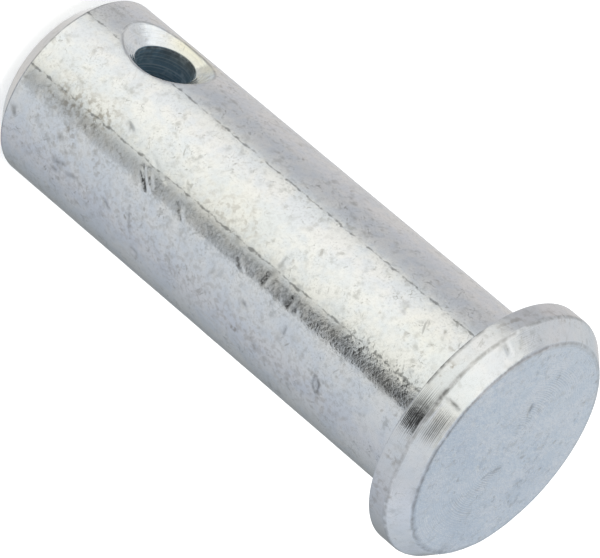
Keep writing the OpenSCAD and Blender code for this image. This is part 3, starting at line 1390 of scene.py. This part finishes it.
FINISHES: dict[Zone, MetalFinish] = {
    Zone.SHANK: MetalFinish(
        "drawn_zinc_plate", speck_share=0.85, reflection_line_share=0.7, crystals=7.0, scuff=25.0
    ),
    Zone.TURNED: MetalFinish(
        "turned_zinc_plate",
        colour=(0.745, 0.765, 0.785),
        cloud=(0.79, 0.79, 0.79),
        dullness=0.10,
        crystals=6.0,
        rings=1.0,
        pitch=0.13,
    ),
    Zone.FACE: MetalFinish(
        "faced_zinc_plate",
        colour=(0.735, 0.78, 0.825),
        cloud=(0.80, 0.82, 0.845),
        tint=(0.64, 0.70, 0.77),
        speck_share=0.55,
        dullness=0.12,
        crystals=14.0,
        rings=1.0,
        pitch=0.16,
    ),
    Zone.COUNTERSINK: MetalFinish(
        "countersunk_zinc_plate", dullness=0.15, rings=7.0, ring_share=0.12, pitch=0.26
    ),
    # Painted shade: the bore is a dark blue matt non-metal that stands in for the shade inside the hole.
    Zone.BORE: MetalFinish(
        "bore_painted_shade",
        colour=(0.12, 0.205, 0.275),
        cloud=(0.145, 0.235, 0.31),
        # Painted highlight: light specks and ring crests glint in the bore.
        speck=(0.50, 0.58, 0.63),
        # Painted shade: near-black line along the bore's edge.
        line=(0.01, 0.015, 0.02),
        metallic=0.0,
        roughness=0.45,
        rings=6.0,
        ring_share=0.42,
        pitch=0.3,
    ),
}


@dataclass
class ClevisPin:
    """The whole pin as one closed mesh.

    Attributes:
        sizes: The pin's sizes.
        view: The photograph's viewpoint, which places the marks.
        handling: The small dents and waves.
    """

    sizes: PinSizes
    view: PhotoView
    handling: Handling

    def stitch(self, rng: np.random.Generator) -> tuple[Array, Array, Array, Array, dict[str, Array]]:
        """Joins the turned body and the hole, which share the points round the hole's windows.

        Args:
            rng: The random generator.

        Returns:
            The points, the four-sided faces, the three-sided faces, the zone of each face in that order,
            and the numbers that the points carry.
        """
        turned = TurnedBody(self.sizes)
        body = turned.build(rng)
        rows, columns = body.points.shape[:2]
        ids = 1 + np.arange(rows * columns).reshape(rows, columns)
        hole = CotterHole(self.sizes)
        low, high, first, last = hole.span(body.points[:, 0, 2], turned.angles())
        window_rows, front = hole.rectangle(low, high, first, last)
        behind = columns - front
        pit = hole.build(body.points[window_rows, front])
        places = pit.points.shape[1]
        inner = rows * columns + 2 + np.arange((len(pit.points) - 2) * places).reshape(-1, places)
        pit_ids = np.concatenate([[ids[window_rows, front]], inner, [ids[window_rows, behind]]])

        kept = np.ones((rows - 1, columns), bool)
        kept[low:high, first:last] = False
        kept[low:high, columns - last : columns - first] = False
        body_faces = faces_between(ids)[kept]
        pit_faces = faces_between(pit_ids).reshape(-1, 4)
        poles = np.array([0, rows * columns + 1])
        tip = np.stack([0 * ids[0], np.roll(ids[0], -1), ids[0]], axis=-1)
        top = np.stack([ids[-1], np.roll(ids[-1], -1), 0 * ids[-1] + poles[1]], axis=-1)

        pole_points = np.array([[0.0, 0.0, 0.0], [0.0, 0.0, self.sizes.face_z]])
        grids = body.points.reshape(-1, 3), pit.points[1:-1].reshape(-1, 3)
        points = np.concatenate([pole_points[:1], grids[0], pole_points[1:], grids[1]])
        run, pit_run = body.run(), pit.run()
        pit_run -= pit_run[len(pit_run) // 2]
        numbers = {
            "run": np.concatenate([[0.0], run.ravel(), run[-1, :1], pit_run[1:-1].ravel()]),
            "edge": np.concatenate(
                [[0.0], np.repeat(body.edge, columns), [0.0], np.repeat(pit.edge[1:-1], places)]
            ),
        }
        zones = np.concatenate(
            [
                np.repeat(body.zones[:, None], columns, axis=1)[kept],
                np.repeat(pit.zones, places),
                np.repeat([Zone.TURNED.value, Zone.FACE.value], columns),
            ]
        )
        quads = np.concatenate([body_faces, pit_faces])
        fans = np.concatenate([tip, top])
        used = np.union1d(quads, poles)
        renumber = np.zeros(len(points), int)
        renumber[used] = np.arange(len(used))
        numbers = {name: number[used] for name, number in numbers.items()}
        return points[used], renumber[quads], renumber[fans], zones, numbers

    @staticmethod
    def normals(points: Array, quads: Array) -> Array:
        """The unit normal at each point: the sum of its four-sided faces' crossed diagonals.

        Args:
            points: The points.
            quads: The four-sided faces.

        Returns:
            The normals.
        """
        corners = points[quads]
        across = np.cross(corners[:, 2] - corners[:, 0], corners[:, 3] - corners[:, 1])
        total = np.zeros_like(points)
        for corner in range(4):
            np.add.at(total, quads[:, corner], across)
        total[np.abs(total).sum(axis=1) == 0] = (0.0, 0.0, 1.0)
        return total / np.linalg.norm(total, axis=1, keepdims=True)

    def worn(
        self, points: Array, normals: Array, rng: np.random.Generator
    ) -> tuple[Array, dict[str, Array]]:
        """Presses the dents into the pin and lays its other marks on it.

        A dent's depth at the squared distance q from its line is (1 - q) exp(-q), which leaves a low lip.
        Any other mark fades as exp(-q). Nothing is raised on the flat ends or the rim, and the tip's end
        stays flat, so that the pin stands well and keeps within its box.

        Args:
            points: The points of the clean pin.
            normals: Their normals.
            rng: The random generator.

        Returns:
            The worn points, and the strength of each other kind of mark at each point.
        """
        fade = {kind: np.zeros(len(points)) for kind in MarkKind if kind is not DENT}
        pressed = -self.handling.waviness(points, rng)
        place = self.view.place()
        lines = self.handling.dents(self.sizes, rng)
        for mark in MARKS:
            rays = self.view.ray(mark.start), self.view.ray(mark.end)
            ends = [self.sizes.meet(mark.skin, place, ray) for ray in rays]
            if mark.kind is DENT:
                lines.append((*ends, mark.reach, mark.amount))
            else:
                near = mark.amount * np.exp(-closeness(points, *ends, mark.reach))
                fade[mark.kind] = np.maximum(fade[mark.kind], near)
        for start, end, reach, depth in lines:
            q = closeness(points, start, end, reach)
            pressed += depth * (1 - q) * np.exp(-q)
        half = self.sizes.face_z / 2
        on_end = np.abs(points[:, 2] - half) > half - CONTACT
        on_rim = np.hypot(points[:, 0], points[:, 1]) > self.sizes.head_r - self.sizes.rim_edge / 2
        depth = np.where(on_end | on_rim, np.clip(pressed, 0.0, None), pressed)
        depth[points[:, 2] < CONTACT] = 0.0
        worn = points - normals * depth[:, None]
        worn[:, 2] = np.clip(worn[:, 2], 0.0, self.sizes.face_z)
        return worn, {kind.value: value for kind, value in fade.items()}

    def build(self, rng: np.random.Generator) -> bpy.types.Object:
        """Makes the pin's mesh and its finishes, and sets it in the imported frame.

        Args:
            rng: The random generator.

        Returns:
            The pin's object.
        """
        points, quads, fans, zones, numbers = self.stitch(rng)
        points, marks = self.worn(points, self.normals(points, quads), rng)
        mesh = smooth_mesh("zinc_clevis_pin", points * METRES_PER_MM, quads.tolist() + fans.tolist())
        effects = Effects()
        for zone in Zone:
            mesh.materials.append(FINISHES[zone].build(effects))
        mesh.polygons.foreach_set("material_index", zones.astype(np.int32))
        for name, number in {**numbers, **marks}.items():
            layer = mesh.attributes.new(name, "FLOAT", "POINT")
            layer.data.foreach_set("value", number.astype(np.float32))
        mesh.update()
        piece = linked("zinc_clevis_pin", mesh)
        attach(piece, "root")
        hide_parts("clevis_pin")
        return piece


@dataclass(frozen=True)
class Panel:
    """The light tent at one direction round the pin.

    Attributes:
        azimuth_deg: Direction from the camera, positive anticlockwise from above.
        seamed: Its colour at the heights of the tent's seams.
        plain: Its colour far from them.
    """

    azimuth_deg: float
    seamed: Colour
    plain: Colour


PANELS: tuple[Panel, ...] = (
    Panel(-180, (0.90, 0.90, 0.90), (0.74, 0.725, 0.71)),
    Panel(-168, (0.655, 0.65, 0.655), (0.64, 0.66, 0.69)),
    Panel(-152, (0.665, 0.655, 0.655), (0.62, 0.66, 0.70)),
    Panel(-123, (0.65, 0.64, 0.655), (0.70, 0.72, 0.74)),
    Panel(-110, (0.57, 0.575, 0.595), (0.71, 0.72, 0.74)),
    Panel(-97, (0.535, 0.545, 0.575), (0.69, 0.70, 0.72)),
    Panel(-84, (0.58, 0.59, 0.61), (0.68, 0.70, 0.72)),
    Panel(-75, (0.66, 0.675, 0.685), (0.86, 0.88, 0.90)),
    Panel(-71, (0.84, 0.85, 0.83), (1.04, 1.06, 1.06)),
    Panel(-63, (0.93, 0.94, 0.92), (1.08, 1.09, 1.08)),
    Panel(-50, (1.01, 1.01, 0.99), (1.00, 1.00, 0.97)),
    Panel(-31, (1.05, 1.06, 1.025), (1.02, 1.02, 0.98)),
    Panel(-18, (1.03, 1.04, 0.995), (1.00, 1.00, 0.96)),
    Panel(-6, (0.99, 1.00, 0.955), (0.98, 0.98, 0.94)),
    Panel(4, (0.93, 0.94, 0.89), (0.92, 0.92, 0.89)),
    Panel(11, (0.84, 0.85, 0.80), (0.85, 0.85, 0.82)),
    Panel(14, (0.68, 0.69, 0.66), (0.80, 0.80, 0.79)),
    Panel(22, (0.63, 0.64, 0.62), (0.75, 0.76, 0.77)),
    Panel(38.5, (0.71, 0.735, 0.755), (0.73, 0.75, 0.78)),
    Panel(44, (0.70, 0.73, 0.765), (0.76, 0.79, 0.83)),
    Panel(72, (0.62, 0.655, 0.705), (0.72, 0.75, 0.81)),
    Panel(100, (0.535, 0.56, 0.615), (0.67, 0.71, 0.775)),
    Panel(123, (0.45, 0.48, 0.525), (0.57, 0.62, 0.68)),
    Panel(140, (0.375, 0.40, 0.425), (0.53, 0.58, 0.65)),
    Panel(163, (0.27, 0.285, 0.295), (0.52, 0.58, 0.64)),
    Panel(180, (0.62, 0.64, 0.66), (0.74, 0.725, 0.71)),
)


@dataclass
class Studio:
    """The light tent, the floor and the lamp overhead.

    Attributes:
        view: The photograph's viewpoint, from which the tent's directions are counted.
        seam_low_deg: How far below the horizon the tent's seamed panels show.
        seam_high_deg: Elevation at which they show again above the horizon.
        spread: How much wider the panels are there.
        upward_gain: How much brighter the tent is there.
        seam_wave: Where the cosine of the height goes from the plain panels to the seamed ones.
        slit_deg: Directions between which the tent's dark slit opens, and between which it closes.
        slit_rise: Heights, in shares of the way between the seams, at which it opens and closes.
        slit_colour: What shows through the slit.
        floor_r: Radius of the floor's flat, in metres.
        cove_r: Radius of the curve at the floor's edge, in metres.
        flat_radii: Radii of the rings on the flat, in metres.
        floor_sides: Places round the floor.
        cove_rows: Rows of points up the curve.
        floor_colour: Colour of the floor.
        floor_glow: What the floor's white adds to its lit colour.
        lamp_height: Height of the lamp, in metres.
        lamp_size: Side of the lamp, in metres.
        lamp_power: Power of the lamp, in watts.
    """

    view: PhotoView
    seam_low_deg: float = 29.2
    seam_high_deg: float = 54.0
    spread: float = 0.33
    upward_gain: float = 0.08
    seam_wave: tuple[float, float] = (-0.2, 0.9)
    slit_deg: tuple[float, float, float, float] = (14.5, 23.5, 35.5, 38.0)
    slit_rise: tuple[float, float, float, float] = (-0.045, 0.072, 0.10, 0.17)
    slit_colour: Colour = (0.07, 0.07, 0.07)
    floor_r: float = 1.0
    cove_r: float = 2.0
    flat_radii: tuple[float, float] = (0.2, 0.8)
    floor_sides: int = 64
    cove_rows: int = 13
    floor_colour: Colour = (0.90, 0.90, 0.90)
    floor_glow: float = 0.42
    lamp_height: float = 1.0
    lamp_size: float = 0.8
    lamp_power: float = 2.2

    def ramp(self, sketch: NodeSketch, place: Value, colours: list[Colour]) -> bpy.types.NodeSocket:
        """A colour ramp through the tent's panels.

        Args:
            sketch: The world's sketch.
            place: Where in the turn, from 0 to 1.
            colours: The panels' colours, in order.

        Returns:
            The colour.
        """
        node = sketch.add("ValToRGB")
        stops = node.color_ramp.elements
        while len(stops) < len(PANELS):
            stops.new(0.5)
        for stop, panel, colour in zip(stops, PANELS, colours):
            stop.position = panel.azimuth_deg / 360 + 0.5
            stop.color = (*colour, 1.0)
        sketch.put(node.inputs["Fac"], place)
        return node.outputs["Color"]

    def build_tent(self) -> bpy.types.World:
        """Makes the tent that surrounds the pin, as the world.

        Its colour follows the direction's azimuth from the camera. The seams lie a little below the
        elevation that the upright walls mirror, and again at seam_high_deg. A cosine of the elevation is 1
        on both, and as it falls the colour goes over to the plain panels. The slit is dark in a narrow span
        above the lower seam.

        Returns:
            The world.
        """
        world = bpy.data.worlds.new("light_tent")
        world.use_nodes = True
        sketch = NodeSketch(world.node_tree)
        way = sketch.add("TexCoord").outputs["Generated"]
        parts = []
        for axis in (self.view.level(), self.view.towards(), (0.0, 0.0, 1.0)):
            dot = sketch.add("VectorMath", operation="DOT_PRODUCT")
            sketch.put(dot.inputs[0], way)
            dot.inputs[1].default_value = axis
            parts.append(dot.outputs["Value"])
        azimuth = sketch.math("ARCTAN2", parts[0], parts[1])
        elevation = sketch.math("ARCSINE", parts[2])
        period = math.radians(self.seam_high_deg + self.seam_low_deg)
        above = sketch.math("DIVIDE", sketch.plus(elevation, math.radians(self.seam_low_deg)), period)
        wider = sketch.plus(sketch.times(above, self.spread), 1.0)
        turn = sketch.math("DIVIDE", azimuth, sketch.times(wider, 2 * math.pi))
        place = sketch.plus(turn, 0.5)
        height = sketch.times(above, 2 * math.pi)
        seamed = self.ramp(sketch, place, [panel.seamed for panel in PANELS])
        plain = self.ramp(sketch, place, [panel.plain for panel in PANELS])
        near_seam = sketch.between(sketch.math("COSINE", height), *self.seam_wave)
        colour = sketch.blend(near_seam, plain, seamed)
        opens, opened, closes, closed = (degrees / 360 + 0.5 for degrees in self.slit_deg)
        sides = sketch.between(place, opens, opened), sketch.between(place, closes, closed)
        ends = sketch.between(above, *self.slit_rise[:2]), sketch.between(above, *self.slit_rise[2:])
        slit = sketch.times(sketch.minus(*sides), sketch.minus(*ends))
        background = world.node_tree.nodes["Background"]
        sketch.put(background.inputs["Color"], sketch.blend(slit, colour, self.slit_colour))
        upward = sketch.plus(sketch.times(above, self.upward_gain), 1.0)
        sketch.put(background.inputs["Strength"], upward)
        bpy.context.scene.world = world
        return world

    def build_floor(self) -> bpy.types.Object:
        """Makes the floor: a flat disc whose edge curves up into a cove, carried round the axis.

        Returns:
            The floor's object.
        """
        angle = np.linspace(0.0, 2 * math.pi, self.floor_sides, endpoint=False)
        bend = np.linspace(0.0, math.pi / 2, self.cove_rows)
        radius = np.concatenate([self.flat_radii, self.floor_r + self.cove_r * np.sin(bend)])[:, None]
        flat = np.zeros(len(self.flat_radii))
        height = np.concatenate([flat, self.cove_r * (1 - np.cos(bend))])[:, None]
        points = np.stack([radius * np.cos(angle), radius * np.sin(angle), height + 0 * angle], axis=-1)
        ids = np.arange(radius.size * angle.size).reshape(radius.size, angle.size)
        faces = faces_between(ids)[..., ::-1].reshape(-1, 4).tolist()
        mesh = smooth_mesh("floor", points.reshape(-1, 3), [*faces, ids[0].tolist()])
        mesh.materials.append(self.floor_paint())
        floor = linked("floor", mesh)
        floor.visible_glossy = False
        return floor

    def floor_paint(self) -> bpy.types.Material:
        """Makes the floor's matt white, which keeps the pin's shadow.

        Returns:
            The material.
        """
        material, sketch, shader = new_material("floor_white")
        sketch.put(shader.inputs["Base Color"], self.floor_colour)
        shader.inputs["Roughness"].default_value = 1.0
        shader.inputs["Specular IOR Level"].default_value = 0.0
        shader.inputs["Emission Color"].default_value = (1.0, 1.0, 1.0, 1.0)
        path = sketch.add("LightPath").outputs
        seen = sketch.most(path["Is Camera Ray"], path["Is Glossy Ray"])
        seen = sketch.most(seen, path["Is Transmission Ray"])
        sketch.put(shader.inputs["Emission Strength"], sketch.times(seen, self.floor_glow))
        return material

    def build_lamp(self) -> bpy.types.Object:
        """Hangs a square soft lamp over the pin.

        Returns:
            The lamp's object.
        """
        light = bpy.data.lights.new("overhead_lamp", "AREA")
        light.size = self.lamp_size
        light.energy = self.lamp_power
        lamp = linked("overhead_lamp", light)
        lamp.location = (0.0, 0.0, self.lamp_height)
        lamp.visible_glossy = False
        return lamp


def main() -> None:
    """Builds the camera, the pin and the studio in order."""
    logging.basicConfig(level=logging.INFO, format="%(name)s: %(message)s")
    rng = np.random.default_rng(SEED)
    bpy.context.scene.view_settings.view_transform = "Standard"
    view = PhotoView()
    camera = view.build()
    LOG.info("%s looks from %.1f degrees above the floor", camera.name, view.elevation_deg)
    pin = ClevisPin(PinSizes.from_frame(frame), view, Handling()).build(rng)
    LOG.info("%s has %d faces", pin.name, len(pin.data.polygons))
    studio = Studio(view)
    for part in (studio.build_tent(), studio.build_floor(), studio.build_lamp()):
        LOG.info("%s is in place", part.name)


if __name__ == "__main__":
    main()
